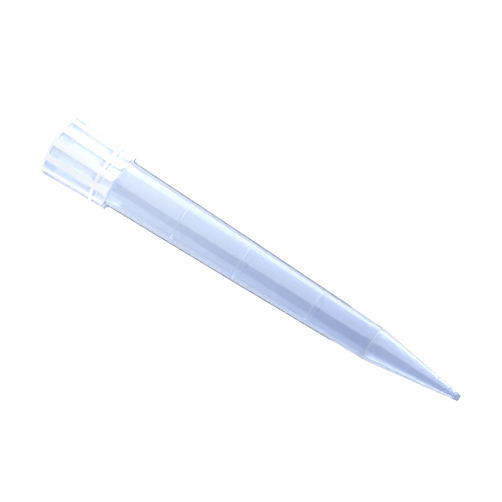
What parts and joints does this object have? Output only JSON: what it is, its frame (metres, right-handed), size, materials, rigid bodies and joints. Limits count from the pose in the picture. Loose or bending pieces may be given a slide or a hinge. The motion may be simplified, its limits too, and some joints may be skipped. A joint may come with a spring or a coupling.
{
  "type": "pipette tip",
  "caption": "Disposable pipette tip: a slim tapered tube with a fine cone at its end, low volume rings and a ribbed collar that pushes onto a pipette's nozzle.",
  "frame": {"origin": "centre of the open rim, on the plane of its flat ring face", "axes": "+Z along the tip's axis from the open rim to the fine end; -Y points through the middle of one collar rib"},
  "size_m": [0.0098, 0.0098, 0.0715],
  "materials": {
    "tinted_polypropylene": "pale blue translucent moulded polypropylene, semi-gloss"
  },
  "bodies": {
    "root": {"pipette_tip": "tinted_polypropylene"}
  },
  "joints": []
}
